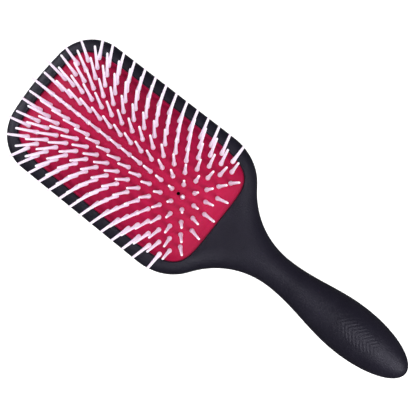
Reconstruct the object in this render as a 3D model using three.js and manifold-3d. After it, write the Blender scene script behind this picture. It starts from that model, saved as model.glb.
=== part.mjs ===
// An air-cushion paddle hairbrush: a one-piece moulded body, a domed rubber cushion and its nylon pins.
// Millimetres, +Z up. The brush lies on its back, so the flat back of the head is the plane z = 0 and the
// pins point up. The head reaches towards +Y and the handle towards -Y. The origin is the middle of the
// head's back.
import * as THREE from "three";
import { mergeVertices } from "three/addons/utils/BufferGeometryUtils.js";
import Module from "manifold-3d";

const wasm = await Module();
wasm.setup();

// ---- Driving dimensions ----------------------------------------------------------------------------

const HEAD = {
  halfWidth: 41.5,
  farEnd: 67.9, // y of the head's far end
  endRadius: 180, // plan radius of the gently bowed far end
  cornerRadius: 24, // plan radius of the two far corners
  thickness: 13,
  topEdge: 3.2, // rounding between the rim's top and the sides
  backEdge: 4.6, // rounding between the sides and the back
};
const SHOULDER = {
  start: -40, // y where the straight sides end
  radius: 30, // convex plan radius of the shoulders
  neckRadius: 47, // concave plan radius that runs into the neck
  flare: THREE.MathUtils.degToRad(53), // steepest plan angle between the two
};
const HANDLE = {
  neckHalfWidth: 8.8,
  neckHalfHeight: 7.2,
  neckHeight: 8, // z of the neck's centre line
  bulbY: -150, // y of the widest point of the grip
  bulbHalfWidth: 13.8,
  bulbHalfHeight: 10.2,
  bulbHeight: 10.6, // z of the grip's centre line
  end: -185.4, // y of the handle's end
};
const OPENING = { halfWidth: 34.3, halfLength: 60.45, middle: -0.65, squareness: 5.8 };
const CHAMBER_FLOOR = 3.2; // thickness of the head's back under the air chamber
const LIP = 1.5; // thickness of the lip that holds the cushion's flange down
const GROOVE = { depth: 2.3, bottom: 9.7 }; // how far it undercuts the opening, and the z of its floor
const GAP = 0.3; // clearance between pieces that touch

const CUSHION = {
  base: 12, // z of the flat band around the dome
  wall: 1.6, // thickness of the rubber
  flangeWidth: 1.9,
  flangeBottom: GROOVE.bottom + GAP,
  flangeTop: HEAD.thickness - LIP - GAP,
  ventRadius: 0.85,
  ventY: -37.3,
};
const DOME = {
  height: 12,
  halfWidth: 32.65,
  halfLength: 58.5,
  powerAcross: 2.06,
  powerAlong: 3.37,
  fullness: 0.79, // below 1 swells the sides, as air pressure does
  edgeFade: 0.06, // share of the opening's size over which the dome dies into the flat band
};
const PINS = {
  pitchAcross: 5.37, // between lengthwise rows, measured along the rubber
  pitchAlong: 7.21, // between the pins of a row, measured along the rubber
  firstRow: -54.75, // arc length from the middle to the pin position nearest the handle
  outerRow: 6, // rows are numbered -6 to 6 from left to right
  positions: 16, // pin positions along a row
  length: 19.5, // from the rubber to the tip
  footRadius: 1.25,
  tipRadius: 0.7,
  tipRound: 0.5,
  sides: 5,
  holeSides: 4,
};
const WEB = { clearance: 1, thickness: 1.3, halfWidth: 1.7, overhang: 1.8, mostSteps: 4 };
const SECTION_SPLITS = [2.75, 12.25]; // pin positions that part a row's near, middle and far strips

// ---- Materials -------------------------------------------------------------------------------------

const plastic = new THREE.MeshStandardMaterial({ color: 0x1e1e23, roughness: 0.5, metalness: 0 });
const rubber = new THREE.MeshStandardMaterial({ color: 0xb5183c, roughness: 0.6, metalness: 0 });
const nylon = new THREE.MeshStandardMaterial({ color: 0xefecf4, roughness: 0.35, metalness: 0 });

// ---- Solids ----------------------------------------------------------------------------------------

// Turns a closed geometry into a manifold-3d solid. Merging its corners leaves position only.
function solid(geometry) {
  geometry.deleteAttribute("normal");
  geometry.deleteAttribute("uv");
  const merged = mergeVertices(geometry, 1e-4);
  return new wasm.Manifold(
    new wasm.Mesh({
      numProp: 3,
      vertProperties: new Float32Array(merged.attributes.position.array),
      triVerts: new Uint32Array(merged.index.array),
    }),
  );
}

// Turns a manifold-3d solid back into a named mesh with a material of its own.
function meshOf(name, body, material) {
  const { vertProperties, triVerts } = body.getMesh();
  const geometry = new THREE.BufferGeometry();
  geometry.setAttribute("position", new THREE.BufferAttribute(vertProperties, 3));
  geometry.setIndex(new THREE.BufferAttribute(triVerts, 1));
  geometry.computeVertexNormals();
  const mesh = new THREE.Mesh(geometry, material.clone());
  mesh.name = name;
  return mesh;
}

// Moves every vertex of a geometry to where place(x, y, z) says.
function warp(geometry, place) {
  const position = geometry.attributes.position;
  for (let i = 0; i < position.count; i++) {
    const [x, y, z] = place(position.getX(i), position.getY(i), position.getZ(i));
    position.setXYZ(i, x, y, z);
  }
  return geometry;
}

const smooth = (t) => THREE.MathUtils.smoothstep(t, 0, 1);
const lerp = THREE.MathUtils.lerp;

// ---- Body: plan outline, side profile and cross-sections ---------------------------------------------

// Where the two shoulder arcs end and meet the straight flare between them.
const shoulderEnd = {
  y: SHOULDER.start - SHOULDER.radius * Math.sin(SHOULDER.flare),
  half: HEAD.halfWidth - SHOULDER.radius * (1 - Math.cos(SHOULDER.flare)),
};
const neckArcHalf = HANDLE.neckHalfWidth + SHOULDER.neckRadius * (1 - Math.cos(SHOULDER.flare));
const neckArcStart = shoulderEnd.y - (shoulderEnd.half - neckArcHalf) / Math.tan(SHOULDER.flare);
const neckY = neckArcStart - SHOULDER.neckRadius * Math.sin(SHOULDER.flare);

// Half-width of the body's plan outline at y, moved in by inset. Zero beyond the outline's ends.
function halfWidthAt(y, inset = 0) {
  const endCentre = HEAD.farEnd - HEAD.endRadius;
  const cornerX = HEAD.halfWidth - HEAD.cornerRadius;
  const cornerY = endCentre + Math.sqrt((HEAD.endRadius - HEAD.cornerRadius) ** 2 - cornerX ** 2);
  const endR = HEAD.endRadius - inset;
  const cornerR = HEAD.cornerRadius - inset;
  const chord = (r, d) => Math.sqrt(Math.max(0, r * r - d * d));
  if (y > cornerY) {
    const onEnd = chord(endR, y - endCentre);
    const endsAt = (cornerX * HEAD.endRadius) / (HEAD.endRadius - HEAD.cornerRadius);
    return onEnd <= endsAt ? onEnd : Math.min(onEnd, cornerX + chord(cornerR, y - cornerY));
  }
  if (y > SHOULDER.start) return HEAD.halfWidth - inset;
  const shoulderR = SHOULDER.radius - inset;
  if (y > SHOULDER.start - shoulderR * Math.sin(SHOULDER.flare)) {
    return HEAD.halfWidth - SHOULDER.radius + chord(shoulderR, y - SHOULDER.start);
  }
  const neckR = SHOULDER.neckRadius + inset;
  if (y > neckY + neckR * Math.sin(SHOULDER.flare)) {
    const line = shoulderEnd.half - (shoulderEnd.y - y) * Math.tan(SHOULDER.flare);
    return line - inset / Math.cos(SHOULDER.flare);
  }
  if (y > neckY) return HANDLE.neckHalfWidth + SHOULDER.neckRadius - chord(neckR, y - neckY);
  return handleSize(y, HANDLE.neckHalfWidth, HANDLE.bulbHalfWidth) - inset;
}

// A handle measure that swells from its neck value to its bulb value and closes as an ellipse at the end.
function handleSize(y, neck, bulb) {
  if (y > HANDLE.bulbY) return lerp(neck, bulb, swell(y));
  const t = (HANDLE.bulbY - y) / (HANDLE.bulbY - HANDLE.end);
  return bulb * Math.sqrt(Math.max(0, 1 - t * t));
}

// How far y lies from the neck (0) to the bulb (1), easing in and out.
function swell(y) {
  const t = THREE.MathUtils.clamp((neckY - y) / (neckY - HANDLE.bulbY), 0, 1);
  return (1 - Math.cos(Math.PI * t)) / 2;
}

const QUARTER_STEPS = 5;
const RING = 4 * (QUARTER_STEPS + 1);

// One quarter point of the head's section: flat rim and back with rolled edges that follow the outline.
function headPoint(y, t, up) {
  const radius = up ? HEAD.topEdge : HEAD.backEdge;
  const reach = Math.min(1, (HEAD.farEnd - y) / radius);
  const first = Math.asin(1 - Math.max(0.02, reach));
  const angle = lerp(first, Math.PI / 2, t);
  const x = halfWidthAt(y, radius * (1 - Math.sin(angle)));
  const drop = radius * (1 - Math.cos(angle));
  return [x, up ? HEAD.thickness - drop : drop];
}

// One quarter point of the handle's section, an ellipse.
function handlePoint(y, t, up) {
  const settle = smooth((SHOULDER.start - y) / (SHOULDER.start - neckY));
  const neckHeight = lerp(HEAD.thickness / 2, HANDLE.neckHeight, settle);
  const neckHalf = lerp(HEAD.thickness / 2, HANDLE.neckHalfHeight, settle);
  const centre = lerp(neckHeight, HANDLE.bulbHeight, swell(y));
  const half = handleSize(y, neckHalf, HANDLE.bulbHalfHeight);
  const angle = lerp(0.07, Math.PI / 2 - 0.04, t);
  return [halfWidthAt(y) * Math.sin(angle), centre + (up ? 1 : -1) * half * Math.cos(angle)];
}

// The j-th point of the section ring at y, starting at the top and going round by +X.
function ringPoint(y, j) {
  const quarter = Math.floor(j / (QUARTER_STEPS + 1));
  const step = (j % (QUARTER_STEPS + 1)) / QUARTER_STEPS;
  const up = quarter === 0 || quarter === 3;
  const t = quarter % 2 === 0 ? step : 1 - step;
  const side = quarter < 2 ? 1 : -1;
  const blend = smooth((-50 - y) / 44);
  const a = headPoint(y, t, up);
  const b = handlePoint(y, t, up);
  return [side * lerp(a[0], b[0], blend), lerp(a[1], b[1], blend)];
}

// Section stations from the handle's end to the head's far end, closer together where the shape turns.
function stations() {
  const along = (from, to, count) => Array.from({ length: count }, (_, i) => lerp(from, to, i / count));
  const gripLength = HANDLE.bulbY - HANDLE.end;
  const cornerStart = HEAD.farEnd - HEAD.cornerRadius;
  return [
    ...along(0.1, Math.PI / 2, 8).map((angle) => HANDLE.bulbY - gripLength * Math.cos(angle)),
    ...along(HANDLE.bulbY, neckY, 6),
    ...along(neckY, SHOULDER.start, 12),
    SHOULDER.start,
    ...along(0, 1.35, 8).map((angle) => cornerStart + HEAD.cornerRadius * Math.sin(angle)),
    ...[1.2, 0.55, 0.25, 0.1, 0.03].map((distance) => HEAD.farEnd - distance),
  ];
}

// The outer shape of the body, as a capped tube warped from section to section.
function bodyShell() {
  const ys = stations();
  const last = ys.length - 1;
  const tube = new THREE.CylinderGeometry(1, 1, 1, RING, last);
  return solid(
    warp(tube, (x, y, z) => {
      const at = ys[Math.round((y + 0.5) * last)];
      if (x * x + z * z < 0.25) return [0, at, (ringPoint(at, 0)[1] + ringPoint(at, RING / 2)[1]) / 2];
      const turn = Math.round((Math.atan2(x, z) / (2 * Math.PI)) * RING);
      const [px, pz] = ringPoint(at, (turn + RING) % RING);
      return [px, at, pz];
    }),
  );
}

// ---- Opening and chamber -----------------------------------------------------------------------------

// A point of the opening's outline, a squared ellipse grown by offset, at parameter angle a.
function openingPoint(a, offset) {
  const power = 2 / OPENING.squareness;
  const x = (OPENING.halfWidth + offset) * Math.sign(Math.sin(a)) * Math.abs(Math.sin(a)) ** power;
  const y = (OPENING.halfLength + offset) * Math.sign(Math.cos(a)) * Math.abs(Math.cos(a)) ** power;
  return [x, y + OPENING.middle];
}

// A vertical-sided solid of the opening's outline from z = bottom to z = top.
function openingBlock(offset, bottom, top, sides = 48) {
  const outline = new THREE.Shape();
  for (let i = 0; i < sides; i++) {
    const [x, y] = openingPoint((2 * Math.PI * i) / sides, offset);
    if (i === 0) outline.moveTo(x, y);
    else outline.lineTo(x, y);
  }
  const block = new THREE.ExtrudeGeometry(outline, { depth: top - bottom, bevelEnabled: false });
  return solid(block.translate(0, 0, bottom));
}

function makeBody() {
  const chamber = openingBlock(0, CHAMBER_FLOOR, HEAD.thickness + 1);
  const groove = openingBlock(GROOVE.depth, GROOVE.bottom, HEAD.thickness - LIP);
  return meshOf("brush_body", bodyShell().subtract(chamber).subtract(groove), plastic);
}

// ---- Cushion -----------------------------------------------------------------------------------------

// Height of the domed rubber above its flat band.
function domeHeight(x, y) {
  const across = 1 - Math.min(1, Math.abs(x / DOME.halfWidth)) ** DOME.powerAcross;
  const along = 1 - Math.min(1, Math.abs(y / DOME.halfLength)) ** DOME.powerAlong;
  const p = OPENING.squareness;
  const outAlong = Math.abs((y - OPENING.middle) / OPENING.halfLength);
  const reach = (Math.abs(x / OPENING.halfWidth) ** p + outAlong ** p) ** (1 / p);
  const fade = smooth(THREE.MathUtils.clamp((1 - reach) / DOME.edgeFade, 0, 1));
  return DOME.height * (across * along) ** DOME.fullness * fade;
}

// Slopes of the dome at x, y.
function domeSlope(x, y) {
  const e = 0.05;
  return [
    (domeHeight(x + e, y) - domeHeight(x - e, y)) / (2 * e),
    (domeHeight(x, y + e) - domeHeight(x, y - e)) / (2 * e),
  ];
}

// A point on the outer face of the rubber, with the direction that stands square on it.
function domeFrame(x, y) {
  const [sx, sy] = domeSlope(x, y);
  return {
    point: new THREE.Vector3(x, y, CUSHION.base + domeHeight(x, y)),
    normal: new THREE.Vector3(-sx, -sy, 1).normalize(),
  };
}

// The place on the rubber reached by going u across and v along it from the middle, measured on its face.
function walk(u, v, steps = 16) {
  let x = 0;
  let y = 0;
  for (let i = 0; i < steps; i++) {
    const [sx, sy] = domeSlope(x, y);
    x += u / steps / Math.hypot(1, sx);
    y += v / steps / Math.hypot(1, sy);
  }
  return domeFrame(x, y);
}

// The rubber as a closed profile turned about Z: dome, flat band, flange in the groove, and the inner face.
function cushionShell() {
  const rings = [0, 0.35, 0.62, 0.8, 0.9, 0.96];
  const edge = rings.length;
  const outer = rings.map((r) => ({ ring: r }));
  const border = [
    { offset: -GAP, z: CUSHION.base },
    { offset: -GAP, z: CUSHION.flangeTop },
    { offset: CUSHION.flangeWidth, z: CUSHION.flangeTop },
    { offset: CUSHION.flangeWidth, z: CUSHION.flangeBottom },
    { offset: -CUSHION.wall - GAP, z: CUSHION.flangeBottom },
  ];
  const inner = [...rings].reverse().map((r) => ({ ring: r, inside: true }));
  const levels = [...outer, ...border, ...inner];
  const profile = levels.map((level, i) => {
    const onAxis = level.ring === 0;
    return new THREE.Vector2(onAxis ? 0 : 1 + Math.min(i, edge), i);
  });
  const lathe = new THREE.LatheGeometry(profile, 24);
  return solid(
    warp(lathe, (lx, level, lz) => {
      const at = levels[Math.round(level)];
      const a = Math.atan2(lx, lz);
      if (at.ring === undefined) return [...openingPoint(a, at.offset), at.z];
      const [ex, ey] = openingPoint(a, -GAP);
      const { point, normal } = domeFrame(ex * at.ring, ey * at.ring);
      if (at.inside) point.addScaledVector(normal, -CUSHION.wall);
      return point.toArray();
    }),
  );
}

// ---- Pins --------------------------------------------------------------------------------------------

// Pin positions of a lengthwise row, counted from the handle. Odd rows sit half a pitch along, and the
// outermost rows leave out their end positions.
function positionsOf(row) {
  const shift = Math.abs(row) % 2 === 0 ? 0 : 0.5;
  const trim = Math.abs(row) === PINS.outerRow ? 1 : 0;
  const list = [];
  for (let k = shift + trim; k <= PINS.positions - 1 - trim; k++) list.push(k);
  return list;
}

// Foot of the pin at a row and position, with its direction.
function pinFrame(row, position) {
  return walk(row * PINS.pitchAcross, PINS.firstRow + position * PINS.pitchAlong);
}

// Puts a geometry built about +Y with its foot at the origin onto a pin's place.
function plant(geometry, { point, normal }) {
  const turn = new THREE.Quaternion().setFromUnitVectors(new THREE.Vector3(0, 1, 0), normal);
  return geometry.applyQuaternion(turn).translate(point.x, point.y, point.z);
}

// A tapered pin with a rounded tip, rooted in the web behind the rubber.
function pinSolid(frame) {
  const root = -(CUSHION.wall + WEB.clearance + WEB.thickness / 2);
  const profile = [
    new THREE.Vector2(0, root),
    new THREE.Vector2(PINS.footRadius, root),
    new THREE.Vector2(PINS.tipRadius, PINS.length - PINS.tipRound),
    new THREE.Vector2(0, PINS.length),
  ];
  return solid(plant(new THREE.LatheGeometry(profile, PINS.sides), frame));
}

// The hole that the rubber leaves round a pin.
function pinHole(frame) {
  const radius = (PINS.footRadius + GAP) / Math.cos(Math.PI / PINS.holeSides);
  const hole = new THREE.CylinderGeometry(radius, radius, 4 * CUSHION.wall, PINS.holeSides, 1);
  return solid(plant(hole, frame));
}

// The thin strip behind the rubber that carries the pins of one strip.
function webSolid(row, from, to) {
  const steps = Math.min(WEB.mostSteps, to - from);
  const bar = new THREE.BoxGeometry(2 * WEB.halfWidth, WEB.thickness, 1, 1, 1, steps);
  const depth = CUSHION.wall + WEB.clearance + WEB.thickness / 2;
  return solid(
    warp(bar, (x, y, z) => {
      const { point, normal } = pinFrame(row, lerp(to, from, z + 0.5));
      const across = new THREE.Vector3(0, 1, 0).cross(normal).normalize();
      const along = normal.clone().cross(across);
      const pastEnd = Math.abs(z) === 0.5 ? -Math.sign(z) * WEB.overhang : 0;
      point.addScaledVector(normal, y - depth).addScaledVector(across, x);
      return point.addScaledVector(along, pastEnd).toArray();
    }),
  );
}

function makePinStrip(name, row, positions) {
  let strip = webSolid(row, positions[0], positions[positions.length - 1]);
  for (const position of positions) strip = strip.add(pinSolid(pinFrame(row, position)));
  return meshOf(name, strip, nylon);
}

function makeCushion() {
  let body = cushionShell();
  for (let row = -PINS.outerRow; row <= PINS.outerRow; row++) {
    for (const position of positionsOf(row)) body = body.subtract(pinHole(pinFrame(row, position)));
  }
  const vent = new THREE.CylinderGeometry(CUSHION.ventRadius, CUSHION.ventRadius, 4 * CUSHION.wall, 10);
  body = body.subtract(solid(plant(vent, domeFrame(0, CUSHION.ventY))));
  return meshOf("cushion_pad", body, rubber);
}

// ---- Assembly ----------------------------------------------------------------------------------------

const brush = new THREE.Group();
brush.add(makeBody(), makeCushion());

const pins = new THREE.Group();
for (let row = -PINS.outerRow; row <= PINS.outerRow; row++) {
  const number = String(row + PINS.outerRow + 1).padStart(2, "0");
  const [near, far] = SECTION_SPLITS;
  const parts = {
    near: positionsOf(row).filter((k) => k < near),
    mid: positionsOf(row).filter((k) => k > near && k < far),
    far: positionsOf(row).filter((k) => k > far),
  };
  for (const [section, positions] of Object.entries(parts)) {
    pins.add(makePinStrip(`pin_row_${number}_${section}`, row, positions));
  }
}
brush.add(pins);

export default brush;
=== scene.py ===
# A cushion paddle hairbrush lying on its back on a pale studio floor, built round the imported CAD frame.
# Shapes are worked out in millimetres, as the CAD is, and scaled to metres when their meshes are made.
# +Z points out of the cushion, +Y to the far end of the head, and the handle runs towards -Y.
import math

import bmesh
import bpy
import numpy as np
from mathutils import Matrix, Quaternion, Vector


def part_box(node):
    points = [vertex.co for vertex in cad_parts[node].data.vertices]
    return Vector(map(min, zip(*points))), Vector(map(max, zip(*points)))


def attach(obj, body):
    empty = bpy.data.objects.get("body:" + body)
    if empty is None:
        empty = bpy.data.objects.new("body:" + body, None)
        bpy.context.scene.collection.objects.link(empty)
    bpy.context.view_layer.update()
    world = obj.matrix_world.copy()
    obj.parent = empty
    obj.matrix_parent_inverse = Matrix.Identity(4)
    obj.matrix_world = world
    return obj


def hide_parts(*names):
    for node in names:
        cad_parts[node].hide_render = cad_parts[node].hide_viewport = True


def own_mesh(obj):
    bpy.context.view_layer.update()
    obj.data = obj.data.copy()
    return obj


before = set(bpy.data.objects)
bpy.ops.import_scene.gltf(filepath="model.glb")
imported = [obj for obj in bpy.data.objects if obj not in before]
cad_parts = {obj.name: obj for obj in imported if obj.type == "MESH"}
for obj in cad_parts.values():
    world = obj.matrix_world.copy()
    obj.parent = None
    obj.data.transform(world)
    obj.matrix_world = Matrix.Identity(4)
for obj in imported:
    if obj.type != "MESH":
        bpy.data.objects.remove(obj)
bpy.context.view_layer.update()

MM = 0.001
BODY_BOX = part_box("brush_body")

# ---- Sizes, in millimetres ---------------------------------------------------------------------------

HEAD = dict(half_width=BODY_BOX[1].x / MM, far_end=BODY_BOX[1].y / MM, thickness=13.0,
            end_radius=180.0, corner_radius=24.0)
TOP_EDGE = (5.4, 3.3)  # width and height of the rolled edge round the rim
BACK_EDGE = (6.0, 4.8)  # the same round the back
SHOULDER = dict(start=-40.0, radius=30.0, neck_radius=47.0, flare=math.radians(53))
HANDLE = dict(neck_half_width=8.8, neck_half_height=7.2, neck_height=8.0, end=BODY_BOX[0].y / MM,
              bulb_y=-150.0, bulb_half_width=13.8, bulb_half_height=10.2, bulb_height=10.6)
HANDLE_BLEND = dict(start=-50.0, length=44.0)  # where the head's section turns into the handle's oval
OPENING = dict(half_width=34.3, half_length=60.45, middle_y=-0.65, squareness=5.8)
CHAMBER = dict(floor=3.2, corner=1.5)  # the air chamber under the cushion, and its corner's bevel
GROOVE = dict(depth=2.3, bottom=9.7, top=11.5)
LIP = dict(radius=0.9, turn=math.radians(84), steps=8)
GRIP_RIBS = dict(middle=-156.0, half_length=15.0, half_width=6.5, pitch=2.3, height=0.16,
                 slant=0.9, fade=3.5)

CUSHION = dict(base=12.0, wall=1.6, gap=0.3, flange_width=1.9, flange_bottom=10.0, flange_top=11.2,
               vent_radius=0.95, vent_y=-37.3)
DOME = dict(height=12.0, half_width=32.65, half_length=58.5, power_across=2.06, power_along=3.37,
            fullness=0.79, edge_fade=0.06)
EDGE_TUCK = dict(depth=0.4, width=0.03)  # how the rubber's edge turns down into the head
DIMPLE = dict(depth=0.5, radius=2.6, falloff=2.5)  # how the rubber draws in where it grips a pin
PINS = dict(pitch_across=5.37, pitch_along=7.21, first_row=-54.75, outer_row=6, positions=16)
PIN_PROFILE = [  # radius and height of a pin above the rubber, from its foot to its tip
    (1.08, -2.0), (1.20, -0.7), (1.26, 0.2), (1.21, 1.0), (1.06, 2.2), (0.91, 4.0), (0.81, 6.5),
    (0.74, 10.0), (0.67, 14.0), (0.62, 17.6), (0.60, 18.6), (0.53, 19.1), (0.39, 19.4), (0.18, 19.5),
]
SECTION_SPLITS = (2.75, 12.25)  # pin positions that part a row's near, middle and far strips
ROWS = range(-PINS["outer_row"], PINS["outer_row"] + 1)

# How finely each mesh is drawn, as counts of steps.
QUARTER_STEPS = 40  # in a quarter of the body's section
OPENING_STEPS = 192
CUSHION_STEPS = ((130, 220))  # across and along
WALK_STEPS = 16
PIN_SIDES = 14
VENT_SIDES = 24

# ---- Small helpers -----------------------------------------------------------------------------------


def lerp(a, b, t):
    return a + (b - a) * t


def smooth(t):
    t = np.clip(t, 0.0, 1.0)
    return t * t * (3 - 2 * t)


def chord(radius, distance):
    return math.sqrt(max(0.0, radius * radius - distance * distance))


def mesh_object(name, points, faces):
    """An object from points in millimetres, with shared points merged and normals facing out."""
    mesh = bpy.data.meshes.new(name)
    mesh.from_pydata((np.asarray(points, float) * MM).tolist(), [], faces)
    obj = bpy.data.objects.new(name, mesh)
    bpy.context.scene.collection.objects.link(obj)
    work = bmesh.new()
    work.from_mesh(mesh)
    bmesh.ops.remove_doubles(work, verts=work.verts, dist=1e-7)
    bmesh.ops.recalc_face_normals(work, faces=work.faces)
    work.to_mesh(mesh)
    work.free()
    return obj


def apply_modifiers(obj):
    bpy.context.view_layer.update()
    shown = obj.evaluated_get(bpy.context.evaluated_depsgraph_get())
    mesh = bpy.data.meshes.new_from_object(shown)
    obj.modifiers.clear()
    obj.data = mesh


def cut(obj, cutter):
    tool = obj.modifiers.new("cut", "BOOLEAN")
    tool.operation = "DIFFERENCE"
    tool.solver = "MANIFOLD"
    tool.object = cutter
    apply_modifiers(obj)
    bpy.data.objects.remove(cutter)


def shade(obj, material, sharp_angle=38):
    obj.data.polygons.foreach_set("use_smooth", [True] * len(obj.data.polygons))
    obj.data.set_sharp_from_angle(angle=math.radians(sharp_angle))
    obj.data.materials.clear()
    obj.data.materials.append(material)


def ring_faces(rings, count):
    """Quads between successive closed rings of count points, and a face over each end."""
    faces = [list(range(count))[::-1], [(rings - 1) * count + i for i in range(count)]]
    for r in range(rings - 1):
        for i in range(count):
            j = (i + 1) % count
            faces.append([r * count + i, r * count + j, (r + 1) * count + j, (r + 1) * count + i])
    return faces


# ---- Materials ---------------------------------------------------------------------------------------


def new_material(name):
    material = bpy.data.materials.new(name)
    material.use_nodes = True
    return material, material.node_tree.nodes, material.node_tree.links


def noise(nodes, links, scale, detail=4.0, roughness=0.5, stretch=(1, 1, 1)):
    coordinates = nodes.new("ShaderNodeTexCoord")
    mapping = nodes.new("ShaderNodeMapping")
    mapping.inputs["Scale"].default_value = stretch
    texture = nodes.new("ShaderNodeTexNoise")
    texture.inputs["Scale"].default_value = scale
    texture.inputs["Detail"].default_value = detail
    texture.inputs["Roughness"].default_value = roughness
    links.new(coordinates.outputs["Object"], mapping.inputs["Vector"])
    links.new(mapping.outputs["Vector"], texture.inputs["Vector"])
    return texture.outputs["Fac"]


def ramp(nodes, links, value, low, high, stops=(0.3, 0.7)):
    node = nodes.new("ShaderNodeValToRGB")
    for element, position, colour in zip(node.color_ramp.elements, stops, (low, high)):
        element.position = position
        element.color = (*colour, 1)
    links.new(value, node.inputs["Fac"])
    return node.outputs["Color"]


def bump(nodes, links, height, strength, distance, below=None):
    node = nodes.new("ShaderNodeBump")
    node.inputs["Strength"].default_value = strength
    node.inputs["Distance"].default_value = distance
    links.new(height, node.inputs["Height"])
    if below is not None:
        links.new(below, node.inputs["Normal"])
    return node.outputs["Normal"]


def roughness_from(nodes, links, value, low, high):
    node = nodes.new("ShaderNodeMapRange")
    node.inputs["To Min"].default_value = low
    node.inputs["To Max"].default_value = high
    links.new(value, node.inputs["Value"])
    return node.outputs["Result"]


def black_plastic():
    """Matt black moulding: a fine spark-eroded grain, with faint handling wear in its gloss."""
    material, nodes, links = new_material("black_plastic")
    shader = nodes["Principled BSDF"]
    cloudy = noise(nodes, links, 38, detail=5)
    grain = noise(nodes, links, 1500, detail=3, roughness=0.65)
    links.new(ramp(nodes, links, cloudy, (0.0058, 0.0051, 0.0098), (0.0096, 0.0086, 0.0152)),
              shader.inputs["Base Color"])
    links.new(roughness_from(nodes, links, cloudy, 0.32, 0.42), shader.inputs["Roughness"])
    links.new(bump(nodes, links, grain, 0.9, 0.00026), shader.inputs["Normal"])
    shader.inputs["Specular IOR Level"].default_value = 0.22
    shader.inputs["Specular Tint"].default_value = (0.88, 0.86, 1.0, 1)
    return material


def crimson_rubber():
    """Satin moulded rubber, with a soft glow under its surface and a dusty fine grain."""
    material, nodes, links = new_material("crimson_rubber")
    shader = nodes["Principled BSDF"]
    cloudy = noise(nodes, links, 55, detail=4)
    grain = noise(nodes, links, 1900, detail=3, roughness=0.6)
    links.new(ramp(nodes, links, cloudy, (0.305, 0.0034, 0.0370), (0.378, 0.0050, 0.0490)),
              shader.inputs["Base Color"])
    links.new(roughness_from(nodes, links, cloudy, 0.56, 0.68), shader.inputs["Roughness"])
    links.new(bump(nodes, links, grain, 0.25, 0.00005), shader.inputs["Normal"])
    shader.inputs["Subsurface Weight"].default_value = 0.12
    shader.inputs["Subsurface Radius"].default_value = (0.0030, 0.0006, 0.0008)
    shader.inputs["Subsurface Scale"].default_value = 1.0
    shader.inputs["Specular IOR Level"].default_value = 0.12
    return material


def white_nylon():
    """Milky moulded nylon: a semi-gloss skin over a body that lets some light in."""
    material, nodes, links = new_material("white_nylon")
    shader = nodes["Principled BSDF"]
    cloudy = noise(nodes, links, 260, detail=3)
    drag = noise(nodes, links, 900, detail=2, stretch=(1, 1, 0.15))
    links.new(ramp(nodes, links, cloudy, (0.865, 0.775, 0.93), (0.925, 0.835, 0.97)),
              shader.inputs["Base Color"])
    links.new(roughness_from(nodes, links, cloudy, 0.30, 0.40), shader.inputs["Roughness"])
    links.new(bump(nodes, links, drag, 0.12, 0.00004), shader.inputs["Normal"])
    shader.inputs["Subsurface Weight"].default_value = 0.3
    shader.inputs["Subsurface Radius"].default_value = (0.0016, 0.0014, 0.0017)
    shader.inputs["Subsurface Scale"].default_value = 1.0
    return material


# ---- Body: plan outline, side profile and cross-sections ----------------------------------------------

SHOULDER_SIN, SHOULDER_COS = math.sin(SHOULDER["flare"]), math.cos(SHOULDER["flare"])
SHOULDER_TAN = math.tan(SHOULDER["flare"])
SHOULDER_END_Y = SHOULDER["start"] - SHOULDER["radius"] * SHOULDER_SIN
SHOULDER_END_HALF = HEAD["half_width"] - SHOULDER["radius"] * (1 - SHOULDER_COS)
NECK_ARC_HALF = HANDLE["neck_half_width"] + SHOULDER["neck_radius"] * (1 - SHOULDER_COS)
NECK_ARC_START = SHOULDER_END_Y - (SHOULDER_END_HALF - NECK_ARC_HALF) / SHOULDER_TAN
NECK_Y = NECK_ARC_START - SHOULDER["neck_radius"] * SHOULDER_SIN


def swell(y):
    """How far y lies from the neck (0) to the bulb (1), easing in and out."""
    t = min(1.0, max(0.0, (NECK_Y - y) / (NECK_Y - HANDLE["bulb_y"])))
    return (1 - math.cos(math.pi * t)) / 2


def handle_size(y, neck, bulb):
    if y > HANDLE["bulb_y"]:
        return lerp(neck, bulb, swell(y))
    t = (HANDLE["bulb_y"] - y) / (HANDLE["bulb_y"] - HANDLE["end"])
    return bulb * math.sqrt(max(0.0, 1 - t * t))


def half_width_at(y, inset=0.0):
    """Half-width of the body's plan outline at y, moved in by inset. Zero beyond the outline's ends."""
    end_centre = HEAD["far_end"] - HEAD["end_radius"]
    corner_x = HEAD["half_width"] - HEAD["corner_radius"]
    corner_y = end_centre + chord(HEAD["end_radius"] - HEAD["corner_radius"], corner_x)
    if y > corner_y:
        on_end = chord(HEAD["end_radius"] - inset, y - end_centre)
        ends_at = corner_x * HEAD["end_radius"] / (HEAD["end_radius"] - HEAD["corner_radius"])
        on_corner = corner_x + chord(HEAD["corner_radius"] - inset, y - corner_y)
        return on_end if on_end <= ends_at else min(on_end, on_corner)
    if y > SHOULDER["start"]:
        return HEAD["half_width"] - inset
    shoulder_r = SHOULDER["radius"] - inset
    if y > SHOULDER["start"] - shoulder_r * SHOULDER_SIN:
        return HEAD["half_width"] - SHOULDER["radius"] + chord(shoulder_r, y - SHOULDER["start"])
    neck_r = SHOULDER["neck_radius"] + inset
    if y > NECK_Y + neck_r * SHOULDER_SIN:
        return SHOULDER_END_HALF - (SHOULDER_END_Y - y) * SHOULDER_TAN - inset / SHOULDER_COS
    if y > NECK_Y:
        return HANDLE["neck_half_width"] + SHOULDER["neck_radius"] - chord(neck_r, y - NECK_Y)
    return handle_size(y, HANDLE["neck_half_width"], HANDLE["bulb_half_width"]) - inset


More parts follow.
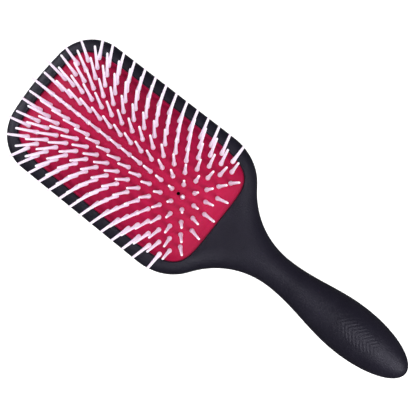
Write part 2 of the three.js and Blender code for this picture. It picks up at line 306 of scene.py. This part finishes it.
def head_point(y, t, up):
    """A quarter point of the head's section, from the middle (t 0) to the side (t 1)."""
    width, height = TOP_EDGE if up else BACK_EDGE
    least = 0.004  # keeps the last sections from shrinking to nothing
    reach = max(least, min(1.0, (HEAD["far_end"] - y) / width))
    first = math.asin(1 - reach)
    angle = lerp(first, math.pi / 2, t)
    x = half_width_at(y, width * (1 - math.sin(angle)))
    drop = height * (1 - math.cos(angle))
    return x, HEAD["thickness"] - drop if up else drop


def handle_point(y, t, up):
    """A quarter point of the handle's section, an ellipse."""
    settle = smooth((SHOULDER["start"] - y) / (SHOULDER["start"] - NECK_Y))
    neck_height = lerp(HEAD["thickness"] / 2, HANDLE["neck_height"], settle)
    neck_half = lerp(HEAD["thickness"] / 2, HANDLE["neck_half_height"], settle)
    centre = lerp(neck_height, HANDLE["bulb_height"], swell(y))
    half = handle_size(y, neck_half, HANDLE["bulb_half_height"])
    seam = 0.02  # keeps the quarters' end points apart
    angle = lerp(seam, math.pi / 2 - seam, t)
    return half_width_at(y) * math.sin(angle), centre + (1 if up else -1) * half * math.cos(angle)


def grip_rib(x, y):
    """Height of the chevron thumb ribs on top of the grip."""
    along = (y - GRIP_RIBS["middle"]) / GRIP_RIBS["half_length"]
    across = x / GRIP_RIBS["half_width"]
    mask = smooth((1 - math.hypot(along, across)) * GRIP_RIBS["fade"])
    wave = math.cos(2 * math.pi * (y + GRIP_RIBS["slant"] * abs(x)) / GRIP_RIBS["pitch"])
    return GRIP_RIBS["height"] * mask * (0.5 + 0.5 * wave)


def section(y):
    """The closed section ring of the body at y, as (x, z) points."""
    blend = float(smooth((HANDLE_BLEND["start"] - y) / HANDLE_BLEND["length"]))
    ring = []
    for quarter in range(4):
        up = quarter in (0, 3)
        side = 1 if quarter < 2 else -1
        for step in range(QUARTER_STEPS + 1):
            t = step / QUARTER_STEPS if quarter % 2 == 0 else 1 - step / QUARTER_STEPS
            a, b = head_point(y, t, up), handle_point(y, t, up)
            x, z = side * lerp(a[0], b[0], blend), lerp(a[1], b[1], blend)
            ring.append((x, z + (grip_rib(x, y) if up and blend == 1 else 0)))
    return ring


def spaced(start, end, count):
    return np.linspace(start, end, count, endpoint=False)


def stations():
    """Places of the body's sections, from the grip's tip to the far end, closest where it turns most."""
    grip = HANDLE["bulb_y"] - HANDLE["end"]
    corner_start = HEAD["far_end"] - HEAD["corner_radius"]
    rib_end = GRIP_RIBS["middle"] - GRIP_RIBS["half_length"]
    rib_start = GRIP_RIBS["middle"] + GRIP_RIBS["half_length"]
    tip_angle, last_angle = 0.03, 1.45
    angle_at_ribs = math.acos((HANDLE["bulb_y"] - rib_end) / grip)
    return [
        *[HANDLE["bulb_y"] - grip * math.cos(a) for a in spaced(tip_angle, angle_at_ribs, 22)],
        *spaced(rib_end, rib_start, 96),
        *spaced(rib_start, SHOULDER["start"], 70),
        *spaced(SHOULDER["start"], corner_start, 12),
        *[corner_start + HEAD["corner_radius"] * math.sin(a) for a in np.linspace(0, last_angle, 34)],
        *[HEAD["far_end"] - short for short in (0.12, 0.06, 0.025, 0.008)],
    ]


def opening_outline(offset):
    """The outline of the head's opening, a squared ellipse grown by offset."""
    power = 2 / OPENING["squareness"]
    points = []
    for i in range(OPENING_STEPS):
        angle = 2 * math.pi * i / OPENING_STEPS
        s, c = math.sin(angle), math.cos(angle)
        x = (OPENING["half_width"] + offset) * math.copysign(abs(s) ** power, s)
        y = (OPENING["half_length"] + offset) * math.copysign(abs(c) ** power, c) + OPENING["middle_y"]
        points.append((x, y))
    return points


def opening_cutter():
    """What is cut from the head: the air chamber, the groove for the flange, and the rounded lip."""
    top, floor, corner = HEAD["thickness"], CHAMBER["floor"], CHAMBER["corner"]
    levels = [  # how far the cut reaches past the opening's outline, at each height
        (-corner, floor),
        (-0.3 * corner, floor + 0.3 * corner),
        (0, floor + corner),
        (0, GROOVE["bottom"]),
        (GROOVE["depth"], GROOVE["bottom"]),
        (GROOVE["depth"], GROOVE["top"]),
        (0, GROOVE["top"]),
    ]
    for step in range(LIP["steps"] + 1):
        angle = LIP["turn"] * step / LIP["steps"]
        levels.append((LIP["radius"] * (1 - math.cos(angle)), top - LIP["radius"] * (1 - math.sin(angle))))
    levels.append((LIP["radius"] * 1.2, top + 1.0))
    points = [(x, y, z) for offset, z in levels for x, y in opening_outline(offset)]
    return mesh_object("opening_cutter", points, ring_faces(len(levels), OPENING_STEPS))


def make_body(material):
    ys = stations()
    points = [(x, y, z) for y in ys for x, z in section(y)]
    body = mesh_object("body_moulding", points, ring_faces(len(ys), 4 * (QUARTER_STEPS + 1)))
    cut(body, opening_cutter())
    shade(body, material)
    weighted = body.modifiers.new("even_normals", "WEIGHTED_NORMAL")
    weighted.keep_sharp = True
    apply_modifiers(body)
    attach(body, "root")
    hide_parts("brush_body")


# ---- Cushion -----------------------------------------------------------------------------------------


def dome_height(x, y):
    """Height of the domed rubber above its flat band. Takes numbers or arrays."""
    across = 1 - np.minimum(1, np.abs(x / DOME["half_width"])) ** DOME["power_across"]
    along = 1 - np.minimum(1, np.abs(y / DOME["half_length"])) ** DOME["power_along"]
    fade = smooth((1 - opening_reach(x, y)) / DOME["edge_fade"])
    return DOME["height"] * (across * along) ** DOME["fullness"] * fade


def dome_normal(x, y):
    """The direction square to the rubber at x, y, from its slopes measured over a short step each way."""
    step = 0.05
    sx = (dome_height(x + step, y) - dome_height(x - step, y)) / (2 * step)
    sy = (dome_height(x, y + step) - dome_height(x, y - step)) / (2 * step)
    normal = np.stack([-sx, -sy, np.ones_like(sx)], -1)
    return normal / np.linalg.norm(normal, axis=-1, keepdims=True)


def walk(u, v):
    """The place on the rubber reached by going u across and v along it from the middle, on its face."""
    x = np.zeros_like(u)
    y = np.zeros_like(v)
    for _ in range(WALK_STEPS):
        normal = dome_normal(x, y)
        x = x + u / WALK_STEPS / np.hypot(1, normal[..., 0] / normal[..., 2])
        y = y + v / WALK_STEPS / np.hypot(1, normal[..., 1] / normal[..., 2])
    return np.stack([x, y, CUSHION["base"] + dome_height(x, y)], -1), dome_normal(x, y)


def positions_of(row):
    """Pin positions along a row, where row 0 is the middle one.

    Odd rows sit half a pitch along, and the outermost rows lose their end pins.
    """
    shift = 0 if row % 2 == 0 else 0.5
    trim = 1 if abs(row) == PINS["outer_row"] else 0
    return np.arange(shift + trim, PINS["positions"] - shift - trim)


def pin_feet(row, positions):
    u = np.full(len(positions), row * PINS["pitch_across"])
    return walk(u, PINS["first_row"] + np.asarray(positions) * PINS["pitch_along"])


def opening_reach(x, y):
    """How far out x, y lies in the opening: 0 in its middle and 1 at its edge."""
    p = OPENING["squareness"]
    out_along = np.abs((y - OPENING["middle_y"]) / OPENING["half_length"])
    return (np.abs(x / OPENING["half_width"]) ** p + out_along**p) ** (1 / p)


def dimples(x, y, feet):
    """How far the rubber draws in round the pins at x, y."""
    depth = np.zeros_like(x)
    for foot in feet:
        near = np.hypot(x - foot[0], y - foot[1]) / DIMPLE["radius"]
        depth += DIMPLE["depth"] * np.exp(-DIMPLE["falloff"] * near**2)
    return depth


def cushion_plan():
    """Places over the opening for a grid of points whose border follows the opening's edge."""
    across, along = CUSHION_STEPS
    u, v = np.meshgrid(np.linspace(-1, 1, across + 1), np.linspace(-1, 1, along + 1), indexing="ij")
    p = OPENING["squareness"]
    rounded = np.maximum(1e-9, (np.abs(u) ** p + np.abs(v) ** p) ** (1 / p))
    squeeze = np.maximum(np.abs(u), np.abs(v)) / rounded
    x = (OPENING["half_width"] - CUSHION["gap"]) * u * squeeze
    y = (OPENING["half_length"] - CUSHION["gap"]) * v * squeeze + OPENING["middle_y"]
    return x, y


def cushion_skins(x, y):
    """The rubber's outer face, drawn in round each pin and tucked down at its edge, and its inner face."""
    feet = np.concatenate([pin_feet(row, positions_of(row))[0] for row in ROWS])
    tuck = EDGE_TUCK["depth"] * smooth((opening_reach(x, y) - 1) / EDGE_TUCK["width"] + 1)
    skin = np.stack([x, y, CUSHION["base"] + dome_height(x, y) - tuck], -1)
    normal = dome_normal(x, y)
    outer = skin - normal * dimples(x, y, feet)[..., None]
    inner = skin - normal * CUSHION["wall"]
    return outer.reshape(-1, 3), inner.reshape(-1, 3)


def flange_loops(edge):
    """Loops that carry the rubber's edge down, out into the head's groove and back under the rubber."""
    middle = np.array([0.0, OPENING["middle_y"]])
    out = (edge[:, :2] - middle) / np.array([OPENING["half_width"], OPENING["half_length"]]) ** 2
    out /= np.linalg.norm(out, axis=1, keepdims=True)
    levels = [
        (0.0, CUSHION["flange_top"]),
        (CUSHION["flange_width"], CUSHION["flange_top"]),
        (CUSHION["flange_width"], CUSHION["flange_bottom"]),
        (-CUSHION["wall"], CUSHION["flange_bottom"]),
    ]
    return [np.column_stack([edge[:, :2] + out * grow, np.full(len(edge), z)]) for grow, z in levels]


def cushion_shell():
    """Points and faces of the rubber: its outer and inner faces, joined by the flange round their edge."""
    across, along = CUSHION_STEPS
    outer, inner = cushion_skins(*cushion_plan())
    index = np.arange(len(outer)).reshape(across + 1, along + 1)
    quads = np.stack([index[:-1, :-1], index[1:, :-1], index[1:, 1:], index[:-1, 1:]], -1).reshape(-1, 4)
    border = np.array([*index[:-1, 0], *index[-1, :-1], *index[:0:-1, -1], *index[0, :0:-1]])
    loops = flange_loops(outer[border])
    count = len(border)
    rows = [border]
    rows += [2 * len(outer) + k * count + np.arange(count) for k in range(len(loops))]
    rows.append(border + len(outer))
    faces = quads.tolist() + (quads + len(outer))[:, ::-1].tolist()
    for a, b in zip(rows, rows[1:]):
        faces += np.stack([a, np.roll(a, -1), np.roll(b, -1), b], -1).tolist()
    return np.concatenate([outer, inner, *loops]), faces


def make_cushion(material):
    cushion = mesh_object("rubber_cushion", *cushion_shell())
    cut(cushion, vent_drill())
    shade(cushion, material, sharp_angle=50)
    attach(cushion, "root")
    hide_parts("cushion_pad")
    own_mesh(cushion)


def vent_drill():
    middle, normal = rubber_above(0.0, CUSHION["vent_y"])
    reach = 4.0  # past the rubber on either side
    drill = lathe([(CUSHION["vent_radius"], -reach), (CUSHION["vent_radius"], reach)], VENT_SIDES)
    return mesh_object("vent_drill", *planted(drill, middle, normal))


def rubber_above(x, y):
    """The place on the rubber straight above x, y, with the direction that stands square on it."""
    x, y = np.array(x), np.array(y)
    return np.array([x, y, CUSHION["base"] + dome_height(x, y)]), dome_normal(x, y)


# ---- Pins --------------------------------------------------------------------------------------------


def lathe(profile, sides):
    """Points and faces of a profile turned about +Z."""
    angles = [2 * math.pi * i / sides for i in range(sides)]
    points = [(r * math.cos(a), r * math.sin(a), h) for r, h in profile for a in angles]
    return np.array(points), ring_faces(len(profile), sides)


def planted(shape, foot, normal):
    """A turned shape moved so that its foot stands on the rubber at foot, along normal."""
    points, faces = shape
    turn = np.array(Vector((0, 0, 1)).rotation_difference(Vector(normal)).to_matrix())
    return points @ turn.T + foot, faces


def make_pin_strip(name, node, row, positions, material):
    """The pins at some positions of a row, in one object that rides and stands for one CAD node."""
    pin = lathe(PIN_PROFILE, PIN_SIDES)
    points, faces = [], []
    for foot, normal in zip(*pin_feet(row, positions)):
        start = sum(len(part) for part in points)
        moved, polygons = planted(pin, foot, normal)
        points.append(moved)
        faces += [[start + i for i in polygon] for polygon in polygons]
    strip = mesh_object(name, np.concatenate(points), faces)
    shade(strip, material, sharp_angle=60)
    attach(strip, node)
    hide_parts(node)


def make_pins(material):
    near, far = SECTION_SPLITS
    for row in ROWS:
        positions = positions_of(row)
        strips = {
            "near": [k for k in positions if k < near],
            "mid": [k for k in positions if near < k < far],
            "far": [k for k in positions if k > far],
        }
        for place, chosen in strips.items():
            label = f"{row + PINS['outer_row'] + 1:02d}_{place}"
            make_pin_strip(f"pins_{label}", f"pin_row_{label}", row, chosen, material)


# ---- Studio ------------------------------------------------------------------------------------------

CAMERA = dict(target=(3.75, -52.5, 13.0), azimuth=-2.95, elevation=77.49, roll=-48.70,
              distance=702.5, lens=116.0)
STAGE_RADIUS = 6000.0
FLOOR_DROP = 0.2  # under the brush, so that their faces don't flicker
FLOOR_GLOW = dict(near=0.25, far=1.6, dim=0.55, bright=1.0)  # distances in metres, and the glow at each
BACKDROP_GLOW = 1.0
BACKDROP_SIDES = 96
WORLD_GLOW = 0.08
LIGHT_AIM = (0.0, -50.0, 10.0)
LIGHT_DISTANCE = 1000.0
LIGHTS = [  # name, azimuth and elevation it shines from, size in metres, watts
    ("overhead", 352, 72, 0.40, 6.9),
    ("grip_end", 2, 32, 0.50, 7.0),
    ("far_end", 184, 34, 0.50, 7.4),
    ("left_side", 262, 35, 0.50, 0.8),
]


def direction(azimuth, elevation):
    """Towards the place at that azimuth, where 0 is the -Y side, and elevation."""
    a, e = math.radians(azimuth), math.radians(elevation)
    return Vector((math.sin(a) * math.cos(e), -math.cos(a) * math.cos(e), math.sin(e)))


def make_camera():
    data = bpy.data.cameras.new("photo_camera")
    data.lens = CAMERA["lens"]
    data.sensor_width = 36.0
    camera = bpy.data.objects.new("photo_camera", data)
    bpy.context.scene.collection.objects.link(camera)
    away = direction(CAMERA["azimuth"], CAMERA["elevation"])
    camera.location = (Vector(CAMERA["target"]) + away * CAMERA["distance"]) * MM
    camera.rotation_mode = "QUATERNION"
    roll = Quaternion((0, 0, 1), math.radians(CAMERA["roll"]))
    camera.rotation_quaternion = (-away).to_track_quat("-Z", "Y") @ roll
    bpy.context.scene.camera = camera


def make_lights():
    for name, azimuth, elevation, size, watts in LIGHTS:
        data = bpy.data.lights.new(name, "AREA")
        data.shape = "DISK"
        data.size = size
        data.energy = watts
        light = bpy.data.objects.new(name, data)
        bpy.context.scene.collection.objects.link(light)
        away = direction(azimuth, elevation)
        light.location = (Vector(LIGHT_AIM) + away * LIGHT_DISTANCE) * MM
        light.rotation_mode = "QUATERNION"
        light.rotation_quaternion = (-away).to_track_quat("-Z", "Y")


def glowing(material):
    """Makes a stage material pale, with a light of its own, and gives that light's strength socket."""
    shader = material.node_tree.nodes["Principled BSDF"]
    shader.inputs["Base Color"].default_value = (0.9, 0.9, 0.9, 1)
    shader.inputs["Roughness"].default_value = 0.9
    shader.inputs["Emission Color"].default_value = (1, 1, 1, 1)
    return shader.inputs["Emission Strength"]


def pale_floor():
    """A floor whose glow grows away from the brush, so that its shadow shows and no horizon does."""
    material, nodes, links = new_material("pale_floor")
    coordinates = nodes.new("ShaderNodeTexCoord")
    distance = nodes.new("ShaderNodeVectorMath")
    distance.operation = "LENGTH"
    links.new(coordinates.outputs["Object"], distance.inputs[0])
    growing = nodes.new("ShaderNodeMapRange")
    growing.interpolation_type = "SMOOTHSTEP"
    growing.inputs["From Min"].default_value = FLOOR_GLOW["near"]
    growing.inputs["From Max"].default_value = FLOOR_GLOW["far"]
    growing.inputs["To Min"].default_value = FLOOR_GLOW["dim"]
    growing.inputs["To Max"].default_value = FLOOR_GLOW["bright"]
    links.new(distance.outputs["Value"], growing.inputs["Value"])
    links.new(growing.outputs["Result"], glowing(material))
    return material


def make_floor():
    r = STAGE_RADIUS
    floor = mesh_object("floor", [(-r, -r, 0), (r, -r, 0), (r, r, 0), (-r, r, 0)], [[0, 1, 2, 3]])
    floor.location.z = -FLOOR_DROP * MM
    floor.data.materials.append(pale_floor())
    floor.visible_glossy = False


def make_backdrop():
    """A pale wall all round, seen only by the camera, so that low views have no dark horizon."""
    points = []
    lifts = np.radians([-2, 0, 15, 30, 45, 60, 75, 89])
    for lift in lifts:
        radius, height = STAGE_RADIUS * math.cos(lift), STAGE_RADIUS * math.sin(lift)
        for turn in spaced(0, 2 * math.pi, BACKDROP_SIDES):
            points.append((radius * math.sin(turn), radius * math.cos(turn), height))
    open_rings = ring_faces(len(lifts), BACKDROP_SIDES)[2:]
    backdrop = mesh_object("backdrop", points, open_rings)
    material, _, _ = new_material("pale_backdrop")
    glowing(material).default_value = BACKDROP_GLOW
    backdrop.data.materials.append(material)
    for ray in ("diffuse", "glossy", "transmission", "volume_scatter", "shadow"):
        setattr(backdrop, f"visible_{ray}", False)


def make_world():
    world = bpy.data.worlds.new("studio")
    bpy.context.scene.world = world
    world.use_nodes = True
    background = world.node_tree.nodes["Background"]
    background.inputs["Color"].default_value = (1, 1, 1, 1)
    background.inputs["Strength"].default_value = WORLD_GLOW
    bpy.context.scene.view_settings.view_transform = "Standard"


make_camera()
make_world()
make_lights()
make_floor()
make_backdrop()
make_body(black_plastic())
make_cushion(crimson_rubber())
make_pins(white_nylon())
